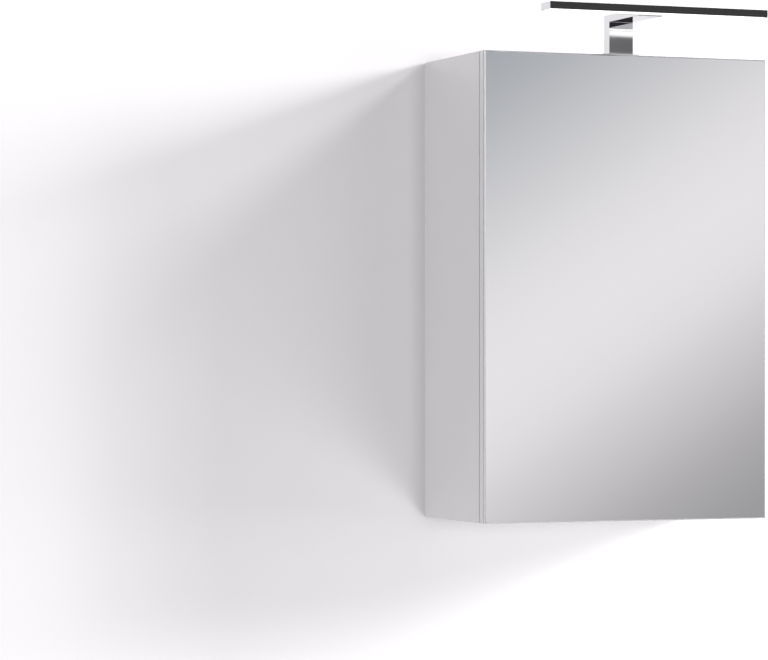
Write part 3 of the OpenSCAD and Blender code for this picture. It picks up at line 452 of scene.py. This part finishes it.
def add_mirror():
    """Silvered front, polished arris and ground edges in one piece."""
    sheet = mirror_sheet()
    caps = [sheet[0, :-1], sheet[-1, :-1]]
    mirror = add_piece("mirror", "mirror_glass", ground_edge_with_joint_shade, [sheet], caps, DOOR, angle=12)
    mirror.data.materials.append(mirror_silver)
    mirror.data.materials.append(arris_glass)
    for face in mirror.data.polygons:
        if face.center.y < (MIRROR_FRONT + 0.01) * MM:
            face.material_index = 1
        elif face.center.y < (MIRROR_FRONT + 0.9 * ARRIS_DEPTH) * MM:
            face.material_index = 2


add_mirror()


# Lamp

POST_FRONT, POST_BACK = -180.8, -164.8
POST_MIDDLE = (POST_FRONT + POST_BACK) / 2
PLATE_TOP = HEIGHT + 3
ARM_LOW, ARM_HIGH, ARM_HALF_W = 644, 653, 17
BAR_FRONT, BAR_BACK, BAR_LOW, BAR_HIGH = -296.0, -267.0, 645.0, 654.2
BAR_HALF_L, BAR_CAP_T, BAR_WALL = 152, 1.5, 1.2
# The inner ends of the bar, and the back of its front strip
BAR_INNER, STRIP_BACK = BAR_HALF_L - BAR_CAP_T, BAR_FRONT + BAR_WALL


def add_bracket():
    """The base plate, and the post and arm in one piece."""
    plate = rounded_block([-25.5, POST_FRONT, HEIGHT], [25.5, -156.3, PLATE_TOP], 0.5)
    add_piece("lamp_foot", "lamp_base_plate", chrome, plate)
    corners = [(POST_FRONT, PLATE_TOP), (POST_BACK, PLATE_TOP), (POST_BACK, ARM_HIGH),
               (BAR_BACK, ARM_HIGH), (BAR_BACK, ARM_LOW), (POST_FRONT, ARM_LOW)]
    outline = eased_outline(corners, [0.6, 0.6, 3.0, 0.6, 0.6, 0.3])
    sheets, caps = drawn(outline, -ARM_HALF_W, ARM_HALF_W, 0.35)
    add_piece("lamp_arm", "lamp_bracket", chrome, sheets, caps, angle=30)


def add_bar_shell():
    """The bar's chrome top and back in one bent sheet, and its dark front strip."""
    inner_y, inner_z = BAR_BACK - BAR_WALL, BAR_HIGH - BAR_WALL
    corners = [(STRIP_BACK, inner_z), (inner_y, inner_z), (inner_y, BAR_LOW),
               (BAR_BACK, BAR_LOW), (BAR_BACK, BAR_HIGH), (STRIP_BACK, BAR_HIGH)]
    outline = eased_outline(corners, [0.1, 0.3, 0.3, 0.5, 1.6, 0.1])
    sheets, caps = drawn(outline, -BAR_INNER, BAR_INNER, 0.05)
    low, high = [-BAR_HALF_L, BAR_FRONT, BAR_LOW], [BAR_HALF_L, STRIP_BACK - 0.02, BAR_HIGH]
    sheets += rounded_block(low, high, 0.15)
    bar = add_piece("bar_shell", "bar_housing", dark_front_finish, sheets, caps, angle=30)
    bar.data.materials.append(chrome)
    for face in bar.data.polygons:
        if face.center.y > (STRIP_BACK - 0.01) * MM:
            face.material_index = 1


def add_bar_caps():
    """The two ends of the bar, behind its front strip."""
    corners = [(STRIP_BACK, BAR_LOW), (BAR_BACK, BAR_LOW), (BAR_BACK, BAR_HIGH), (STRIP_BACK, BAR_HIGH)]
    outline = eased_outline(corners, [0.4, 1.2, 1.8, 0.4])
    sheets, caps = [], []
    for side in SIDES:
        low, high = sorted((side * BAR_INNER, side * BAR_HALF_L))
        end_sheets, end_caps = drawn(outline, low, high, 0.25)
        sheets += end_sheets
        caps += end_caps
    add_piece("bar_caps", "bar_end_caps", chrome, sheets, caps, angle=30)


def add_diffuser():
    """The opal strip under the bar, with a face that is slightly crowned."""
    inner_y, edge_z, top_z = BAR_BACK - BAR_WALL, BAR_LOW + 0.2, BAR_LOW + 1.5
    corners = [(STRIP_BACK, edge_z), ((BAR_FRONT + BAR_BACK) / 2, BAR_LOW), (inner_y, edge_z),
               (inner_y, top_z), (STRIP_BACK, top_z)]
    outline = eased_outline(corners, [0.1, 8, 0.1, 0.1, 0.1])
    sheets, caps = drawn(outline, -BAR_INNER + 0.1, BAR_INNER - 0.1, 0.06)
    add_piece("bar_opal", "bar_diffuser", opal, sheets, caps, angle=30)


add_bracket()
add_bar_shell()
add_bar_caps()
add_diffuser()


# Shelves and their pins

SHELF_HALF_W, SHELF_FRONT, SHELF_BACK, SHELF_T = 183, -167.2, -22, 5
PIN_R, PIN_X, PIN_YS = 2.5, 177, (-51, -141.2)
PIN_PROFILE = [(0, 0), (0, 1.7), (0.3, 2.2), (0.9, PIN_R), (5.2, PIN_R), (5.4, 2.1), (6.2, 2.1), (6.4, PIN_R),
               (14.6, PIN_R), (15, 2.1), (15, 0)]


def add_shelf(name, node, low, pins, pin_node):
    """A glass shelf with rounded, polished edges and its four pins, each with a ring round it."""
    slab = rounded_block([-SHELF_HALF_W, SHELF_FRONT, low], [SHELF_HALF_W, SHELF_BACK, low + SHELF_T], 1.2)
    add_piece(name, node, shelf_glass, slab, angle=60)
    sheets = [turned(PIN_PROFILE, (x, y, low - PIN_R), way)
              for y in PIN_YS for x, way in ((PIN_X, "+x"), (-PIN_X, "-x"))]
    add_piece(pins, pin_node, nickel, sheets)


add_shelf("glass_shelf_low", "shelf_lower", 200, "pins_low", "shelf_pins_lower")
add_shelf("glass_shelf_high", "shelf_upper", 385, "pins_high", "shelf_pins_upper")


# Hinges

HINGE_MIDDLES = (90, 510)


def hinge_point(x, y, z, middle):
    """A point given from the side board's outer face, the boards' front edges and the hinge's middle."""
    return HALF_W - x, FRONT_EDGE - y, middle + z


def add_hinge_screws():
    """The screws of the cups in the door, of the plates on the side board and of the arms on the plates."""
    cups = [(hinge_point(30, 1, side * 22.5, middle), "+y") for middle in HINGE_MIDDLES for side in SIDES]
    plates = [(hinge_point(18, -37, side * 16, middle), "-x") for middle in HINGE_MIDDLES for side in SIDES]
    arms = [(hinge_point(22.6, y, 0, middle), "-x") for middle in HINGE_MIDDLES for y in (-22, -52)]
    add_screws("screws_of_cups", "cup_screws", (9.9, 1.7, 3.5, 1.5), cups, DOOR)
    add_screws("screws_of_plates", "plate_screws", (12, 2.45, 3.75, 1.5), plates)
    add_screws("screws_of_arms", "arm_screws", (5.5, 1.95, 3.2, 1.5), arms)


for end in ("lower", "upper"):
    eased_copy("hinge_cup_" + end, nickel, 0.18, DOOR)
    eased_copy("hinge_arm_" + end, nickel, 0.25)
    eased_copy("hinge_plate_" + end, nickel, 0.3)
    dress("hinge_pin_" + end, nickel)
add_hinge_screws()


# Wall hangers

def add_hanger_screws():
    """The screws that hold the hangers to the side boards, and the ones that set their hooks."""
    sides = ((1, "-x"), (-1, "+x"))
    holding = [((side * 171, -35, z), way) for side, way in sides for z in (540, 558)]
    setting = [((side * 176, -65, z), "-y") for side, _ in sides for z in (542, 556)]
    add_screws("screws_of_hangers", "hanger_screws", (23, 1.95, 3.5, 1.4), holding)
    add_screws("screws_to_adjust", "hanger_adjusters", (10.9, 2.95, 2.95, 0.9), setting)


for side in ("left", "right"):
    eased_copy("hanger_" + side, white_plastic, 0.8)
    eased_copy("hanger_hook_" + side, zinc, 0.3)
    eased_copy("wall_plate_" + side, zinc, 0.25)
add_hanger_screws()


# Switch and socket box

PIVOT = (-98, -175, 560)


def rocker_outline():
    """The rocker's section: a dish 0.9 deep over a front that is 22.4 high, and a keel behind, turned by
    the rest angle of 8 degrees about the pivot."""
    h, dish, tilt = 11.2, 0.9, math.radians(-8)
    z = np.linspace(-h + 0.3, h - 0.3, 15)
    front = np.stack([-3.5 + dish * (1 - (z / h) ** 2), z], 1)
    back = np.array([(-2.9, h), (1, h), (5, h / 3), (5, -h / 3), (1, -h), (-2.9, -h)])
    shape = np.concatenate([front, back])
    y = shape[:, 0] * math.cos(tilt) - shape[:, 1] * math.sin(tilt)
    z = shape[:, 0] * math.sin(tilt) + shape[:, 1] * math.cos(tilt)
    return np.stack([y + PIVOT[1], z + PIVOT[2]], 1)


def add_rocker():
    """The switch's rocker, and the pivot stubs at its sides as one rod."""
    x, y, z = PIVOT
    half_w, stub_half_l, stub_r = 9.2, 10.3, 1.5
    sheets, caps = drawn(rocker_outline(), x - half_w, x + half_w, 0.4)
    stub = [(0, 0), (0, stub_r), (2 * stub_half_l, stub_r), (2 * stub_half_l, 0)]
    sheets.append(turned(stub, (x - stub_half_l, y, z), "+x", 24))
    add_piece("rocker_cap", "rocker", gloss_plastic, sheets, caps, ROCKER, angle=30)


eased_copy("power_box", white_plastic, 0.5)
eased_copy("power_box_front", gloss_plastic, 0.4)
eased_copy("socket_well", gloss_plastic, 0.25)
eased_copy("switch_frame", gloss_plastic, 0.3)
add_rocker()
add_screws("screws_of_front", "front_screws", (9.9, 1.45, 2.8, 1.5),
           [((-124, -176, z), "-y") for z in (541, 579)])
add_piece("driver_case", "led_driver", white_plastic, rounded_block([-84, -173, 538], [-66, -112, 579], 1.0))


# Small parts

BUMPER_PROFILE = [(0, 0), (0, 3.6), (0.3, 4), (1.0, 3.9), (1.5, 3.1), (1.7, 1.8), (1.7, 0)]

add_screws("screws_of_foot", "foot_screws", (29.9, 1.95, 4, 2.5),
           [((side * 11, POST_MIDDLE, 584), "-z") for side in SIDES])
add_piece("bumpers", "door_bumpers", clear_rubber,
          [turned(BUMPER_PROFILE, (-192, -183.2, z), "+y", 32) for z in (30, 300, 570)], body=DOOR, angle=80)
eased_copy("lead_clip", white_plastic, 0.5)
eased_copy("terminal_block", ivory_plastic, 0.3)

# The nodes that keep their own shape
KEPT = {
    "dowels": beech, "cam_discs": zinc, "cam_bolts": zinc, "cam_caps": white_plastic,
    "mirror_tape": foam_tape, "bar_screws": zinc, "led_board": gloss_plastic, "led_chips": phosphor,
    "led_connector": ivory_plastic, "lamp_lead": sheath, "box_screws": zinc, "socket_sleeves": brass,
    "earth_clips": nickel, "cable_grommets": grey_rubber,
}
for node, finish in KEPT.items():
    dress(node, finish)


# Stage: a white wall with a cove into a pale floor, and cards that only shiny surfaces see, which are painted
# reflections

def stage_object(name, sheet, material, to_eye):
    """A stage surface from one grid of points in metres. Shiny surfaces see it, and where to_eye is true
    so do the eye and glass. It lights nothing and throws no shadow."""
    mesh = bpy.data.meshes.new(name)
    rows, columns = sheet.shape[:2]
    mesh.from_pydata(sheet.reshape(-1, 3).tolist(), [], sheet_faces(rows, columns, 0).tolist())
    mesh.polygons.foreach_set("use_smooth", np.ones(len(mesh.polygons), bool))
    mesh.materials.append(material)
    obj = bpy.data.objects.new(name, mesh)
    bpy.context.scene.collection.objects.link(obj)
    obj.visible_camera = to_eye
    obj.visible_transmission = to_eye
    obj.visible_diffuse = False
    obj.visible_shadow = False
    return obj


FLOOR_Z = -1.3


def wall_sheet():
    """The wall from 3.5 m up down to a quarter circle of radius 0.5 m and 9 m out along the floor, 6 m to
    each side."""
    bend, wall_y = 0.5, 0.0015
    a = np.linspace(0, math.pi / 2, 13)
    y = np.concatenate([[wall_y], wall_y - bend * (1 - np.cos(a)), [-9.0]])
    z = np.concatenate([[3.5], FLOOR_Z + bend * (1 - np.sin(a)), [FLOOR_Z]])
    x = np.linspace(-6, 6, 2)
    return points_of(x[None, :], y[:, None], z[:, None])


def upright_sheet(x_ends, y, z_ends):
    """A rectangle that faces the wall."""
    x, z = np.meshgrid(x_ends, z_ends, indexing="ij")
    return points_of(x, y, z)


def level_sheet(x_ends, y_ends, z):
    """A rectangle that faces up."""
    x, y = np.meshgrid(x_ends, y_ends, indexing="ij")
    return points_of(x, y, z)


def stage_material(name):
    """A new material without its surface shader, its node tree, and the socket for its surface."""
    material, tree, shader = nodes_of(name)
    tree.nodes.remove(shader)
    return material, tree, tree.nodes["Material Output"].inputs["Surface"]


def from_place(tree, operation, point):
    """What an operation gives for the place on the object and a point: their distance or dot product."""
    place = tree.nodes.new("ShaderNodeTexCoord")
    away = tree.nodes.new("ShaderNodeVectorMath")
    away.operation = operation
    away.inputs[1].default_value = point
    tree.links.new(place.outputs["Object"], away.inputs[0])
    return away.outputs["Value"]


def worked_out(tree, operation, one, other):
    """What an operation gives for two amounts: their product or the larger one."""
    node = tree.nodes.new("ShaderNodeMath")
    node.operation = operation
    tree.links.new(one, node.inputs[0])
    tree.links.new(other, node.inputs[1])
    return node.outputs[0]


def mixed(tree, share, one, other):
    """A shader that goes from one to the other as the share goes from 0 to 1."""
    mix = tree.nodes.new("ShaderNodeMixShader")
    tree.links.new(share, mix.inputs[0])
    tree.links.new(one, mix.inputs[1])
    tree.links.new(other, mix.inputs[2])
    return mix.outputs[0]


def one_sided(tree, shader):
    """The shader on the front of a surface, and a clear back."""
    side = tree.nodes.new("ShaderNodeNewGeometry")
    clear = tree.nodes.new("ShaderNodeBsdfTransparent")
    return mixed(tree, side.outputs["Backfacing"], shader, clear.outputs[0])


WALL_PAINT = (1.15, 1.128, 1.15)
# Painted reflection: how shiny surfaces see the wall, turning grey over 5.5 m from a place at the cabinet's
# left
REFLECTED_WALL_STOPS = [(0.125, WALL_PAINT), (0.17, (0.52, 0.52, 0.53)), (0.25, (0.66, 0.66, 0.67)),
              (0.5, (0.6, 0.6, 0.615)), (1.0, (0.36, 0.36, 0.38))]


def wall_paint_and_painted_reflection(tree, path):
    """The wall's paint, and a painted reflection: shiny surfaces see it turn grey with the distance from a
    place at the cabinet's left."""
    distance = from_place(tree, "DISTANCE", (-0.6, 0, 0.45))
    grey = ramp_of(tree, span_of(tree, distance, (0, 5.5)), REFLECTED_WALL_STOPS)
    tone = tree.nodes.new("ShaderNodeMix")
    tone.data_type = "RGBA"
    tone.inputs["A"].default_value = (*WALL_PAINT, 1)
    tree.links.new(path.outputs["Is Glossy Ray"], tone.inputs["Factor"])
    tree.links.new(grey, tone.inputs["B"])
    return tone.outputs["Result"]


def painted_contact_shade(tree, colour):
    """The colour with painted contact shade: a fifth darker where something stands on the wall, fading out 26
    mm from it.
    """
    near = tree.nodes.new("ShaderNodeAmbientOcclusion")
    near.samples = 8
    near.inputs["Distance"].default_value = 0.026
    toned = tree.nodes.new("ShaderNodeVectorMath")
    toned.operation = "SCALE"
    tree.links.new(colour, toned.inputs[0])
    tree.links.new(span_of(tree, near.outputs["AO"], (0.5, 1), (0.8, 1)), toned.inputs["Scale"])
    return toned.outputs["Vector"]


def wall_material():
    """White paint that is clear from behind. The eye sees it turn plain white from 0.95 m to 1.8 m away
    from the cabinet."""
    material, tree, surface = stage_material("wall_white")
    path = tree.nodes.new("ShaderNodeLightPath")
    paint = tree.nodes.new("ShaderNodeBsdfDiffuse")
    tree.links.new(painted_contact_shade(tree, wall_paint_and_painted_reflection(tree, path)), paint.inputs["Color"])
    far = span_of(tree, from_place(tree, "DISTANCE", (0, 0, 0)), (0.95, 1.8), blend="SMOOTHSTEP")
    faded = worked_out(tree, "MULTIPLY", far, path.outputs["Is Camera Ray"])
    white = tree.nodes.new("ShaderNodeEmission")
    wall = mixed(tree, faded, paint.outputs[0], white.outputs[0])
    tree.links.new(one_sided(tree, wall), surface)
    return material


def card_material(name, slope, ends, stops, blend):
    """A glowing card, a painted reflection that only shiny surfaces see, whose level runs through the stops
    as the dot product of slope and place goes from one end to the other."""
    material, tree, surface = stage_material(name)
    amount = span_of(tree, from_place(tree, "DOT_PRODUCT", slope), ends)
    glow = tree.nodes.new("ShaderNodeEmission")
    tree.links.new(ramp_of(tree, amount, stops, blend), glow.inputs["Color"])
    tree.links.new(glow.outputs[0], surface)
    return material


def painted_flag_material():
    """A painted dark reflection that the chrome post and arm mirror as a dark wedge: nearly black from above
    and clear from below.
    """
    material, tree, surface = stage_material("painted_dark_flag")
    black = tree.nodes.new("ShaderNodeEmission")
    black.inputs["Color"].default_value = (0.035, 0.033, 0.035, 1)
    tree.links.new(one_sided(tree, black.outputs[0]), surface)
    return material


# Painted reflection: the mirror shows a soft band of light painted on a glowing card, slanted by BAND_SLOPE,
# with BAND_MIDDLE on its middle line
BAND_SLOPE, BAND_MIDDLE, BAND_REACH = (2.5, 0, -3.875), (1.47, 0, 0.191), 8
MIRROR_REFLECTION_STOPS = [(0.05, (1.0, 1.0, 1.0)), (0.2, (0.6, 0.61, 0.63)), (0.285, (0.385, 0.398, 0.43)),
              (0.31, (0.385, 0.398, 0.43)), (0.3675, (0.54, 0.543, 0.57)), (0.43, (0.735, 0.715, 0.735)),
              (0.475, (0.825, 0.793, 0.815)), (0.515, (0.86, 0.823, 0.848)), (0.555, (0.805, 0.77, 0.793)),
              (0.585, (0.718, 0.687, 0.707)), (0.63, (0.55, 0.527, 0.543)), (0.6625, (0.453, 0.436, 0.449)),
              (0.705, (0.347, 0.342, 0.358)), (0.73, (0.347, 0.342, 0.358)), (0.8, (0.48, 0.475, 0.49)),
              (0.95, (0.72, 0.71, 0.725))]
# Painted reflection: the post shows a dark card, with a bright painted highlight band across it
POST_REFLECTION_STOPS = [(0.0, (0.185, 0.18, 0.187)), (0.136, (0.19, 0.185, 0.19)), (0.159, (1.5, 1.5, 1.5)),
              (0.295, (1.5, 1.5, 1.5)), (0.393, (1.0, 1.0, 1.0)), (1.0, (0.9, 0.9, 0.9))]
DARK_ENDS = (0.995, 1.3)


def add_stage():
    """The wall with its floor, the two cards, and the flag over the bar. Gives back the wall."""
    middle = float(np.dot(BAND_SLOPE, BAND_MIDDLE))
    band_ends = (middle - BAND_REACH, middle + BAND_REACH)
    wall = stage_object("wall_and_floor", wall_sheet(), wall_material(), True)
    stage_object("mirror_card", upright_sheet((-6, 7), -4.1, (FLOOR_Z, 3.0)),
                 card_material("painted_reflection_card", BAND_SLOPE, band_ends, MIRROR_REFLECTION_STOPS, "B_SPLINE"), False)
    stage_object("post_reflection_card", upright_sheet((1.45, 2.3), -4.095, DARK_ENDS),
                 card_material("post_reflection_card", (0, 0, 1), DARK_ENDS, POST_REFLECTION_STOPS, "EASE"), False)
    stage_object("flag", level_sheet((-0.2, 0.3), (-0.46, -0.235), 0.628), painted_flag_material(), False)
    return wall


# Light

# What shiny surfaces see of the room: white up to a little above eye level, and a grey ceiling
CEILING_STOPS = [(0.42, (1, 1, 1)), (0.58, (0.34, 0.34, 0.35)), (0.8, (0.2, 0.2, 0.208)),
                 (0.97, (0.1, 0.1, 0.104))]


def light_world():
    """White for the eye and through glass, a white room with a grey ceiling for shiny surfaces, and an even
    soft level for the light it gives."""
    world = bpy.data.worlds.new("studio")
    bpy.context.scene.world = world
    world.use_nodes = True
    tree = world.node_tree
    tree.nodes.clear()
    soft, white, room = [tree.nodes.new("ShaderNodeBackground") for _ in range(3)]
    soft.inputs["Color"].default_value = (1.0, 0.99, 1.0, 1)
    soft.inputs["Strength"].default_value = 0.43
    white.inputs["Color"].default_value = (1, 1, 1, 1)
    way = tree.nodes.new("ShaderNodeTexCoord")
    parts = tree.nodes.new("ShaderNodeSeparateXYZ")
    tree.links.new(way.outputs["Generated"], parts.inputs[0])
    tree.links.new(ramp_of(tree, parts.outputs["Z"], CEILING_STOPS), room.inputs["Color"])
    path = tree.nodes.new("ShaderNodeLightPath")
    seen = worked_out(tree, "MAXIMUM", path.outputs["Is Camera Ray"], path.outputs["Is Transmission Ray"])
    plain = mixed(tree, seen, soft.outputs[0], white.outputs[0])
    shiny = mixed(tree, path.outputs["Is Glossy Ray"], plain, room.outputs[0])
    end = tree.nodes.new("ShaderNodeOutputWorld")
    tree.links.new(shiny, end.inputs["Surface"])


def soft_box(name, place, target, size, power):
    """A lamp of the given width, height and watts that faces a point, and that nothing sees."""
    data = bpy.data.lights.new(name, "AREA")
    data.shape = "RECTANGLE"
    data.size, data.size_y = size
    data.energy = power
    lamp = bpy.data.objects.new(name, data)
    lamp.location = place
    way = np.array(target, float) - np.array(place, float)
    from_up = math.acos(-way[2] / np.linalg.norm(way))
    lamp.rotation_euler = (from_up, 0, math.atan2(way[1], way[0]) - math.pi / 2)
    bpy.context.scene.collection.objects.link(lamp)
    lamp.visible_camera = False
    lamp.visible_glossy = False
    return lamp


def link_light(lamp, surface, state):
    """Lets a lamp light one surface alone (INCLUDE), or all but that one (EXCLUDE)."""
    group = bpy.data.collections.new(lamp.name + "_lights")
    group.objects.link(surface)
    group.collection_objects[0].light_linking.link_state = state
    lamp.light_linking.receiver_collection = group


# The points that the lamps face: the middle of the left side, the middle of the back, and one low down
SIDE, BACK, LOW = (-0.2, -0.1, 0.3), (0, 0, 0.3), (-0.1, 0, 0.1)
# Each lamp's name, place, target, size and power, and whether it lights the wall alone or all but the wall
LAMPS = [
    ("right_box", (7.87, -3.15, 2.93), SIDE, (3.0, 1.5), 270, None),
    ("right_high_box", (6.28, -3.66, 5.36), SIDE, (1.8, 1.8), 214, None),
    ("left_box", (-3.0, -0.3, -0.7), SIDE, (0.5, 2.0), 24, None),
    ("floor_box", (0.75, -1.1, -1.0), LOW, (1.2, 0.8), 10, None),
    ("front_box", (-0.3, -5.0, 0.25), BACK, (2.5, 2.5), 60, "EXCLUDE"),
    ("back_box", (0.3, 4.0, 1.4), BACK, (2.5, 2.5), 60, "EXCLUDE"),
    ("wall_box", (8.07, -2.79, 2.63), SIDE, (2.4, 2.0), 452, "INCLUDE"),
    ("wall_low_box", (8.3, -3.03, 0.0), SIDE, (2.4, 1.6), 104, "INCLUDE"),
]

wall = add_stage()
light_world()
for name, place, target, size, power, state in LAMPS:
    lamp = soft_box(name, place, target, size, power)
    if state:
        link_light(lamp, wall, state)
place_camera()
bpy.context.scene.view_settings.view_transform = "Standard"
